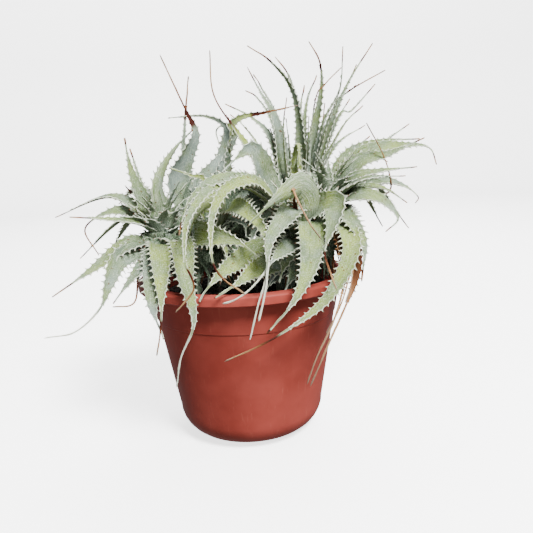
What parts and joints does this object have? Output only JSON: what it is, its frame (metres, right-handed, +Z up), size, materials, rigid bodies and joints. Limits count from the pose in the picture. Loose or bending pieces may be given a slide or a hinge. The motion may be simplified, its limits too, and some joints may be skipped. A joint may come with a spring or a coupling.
{
  "type": "potted silver dyckia",
  "caption": "Clump of toothed silver rosettes with long recurved channelled leaves, rooted in soil in a round tapered nursery pot.",
  "frame": {"origin": "centre of the pot's underside, where it stands", "axes": "+Z up out of the pot, -Y to the front of the plant, +X to its right as seen from the front"},
  "size_m": [0.3364, 0.254, 0.327],
  "materials": {
    "pot_plastic": "satin terracotta red plastic with fine scuffs",
    "soil": "dark crumbly mix of peat and bark",
    "leaf_silver": "scurfy silver green leaf, pale toothed margins, dry tan tips"
  },
  "bodies": {
    "root": {"pot": "pot_plastic", "soil": "soil", "rosette_left": "leaf_silver", "rosette_middle": "leaf_silver", "rosette_back": "leaf_silver", "rosette_right": "leaf_silver", "rosette_front": "leaf_silver"}
  },
  "joints": []
}
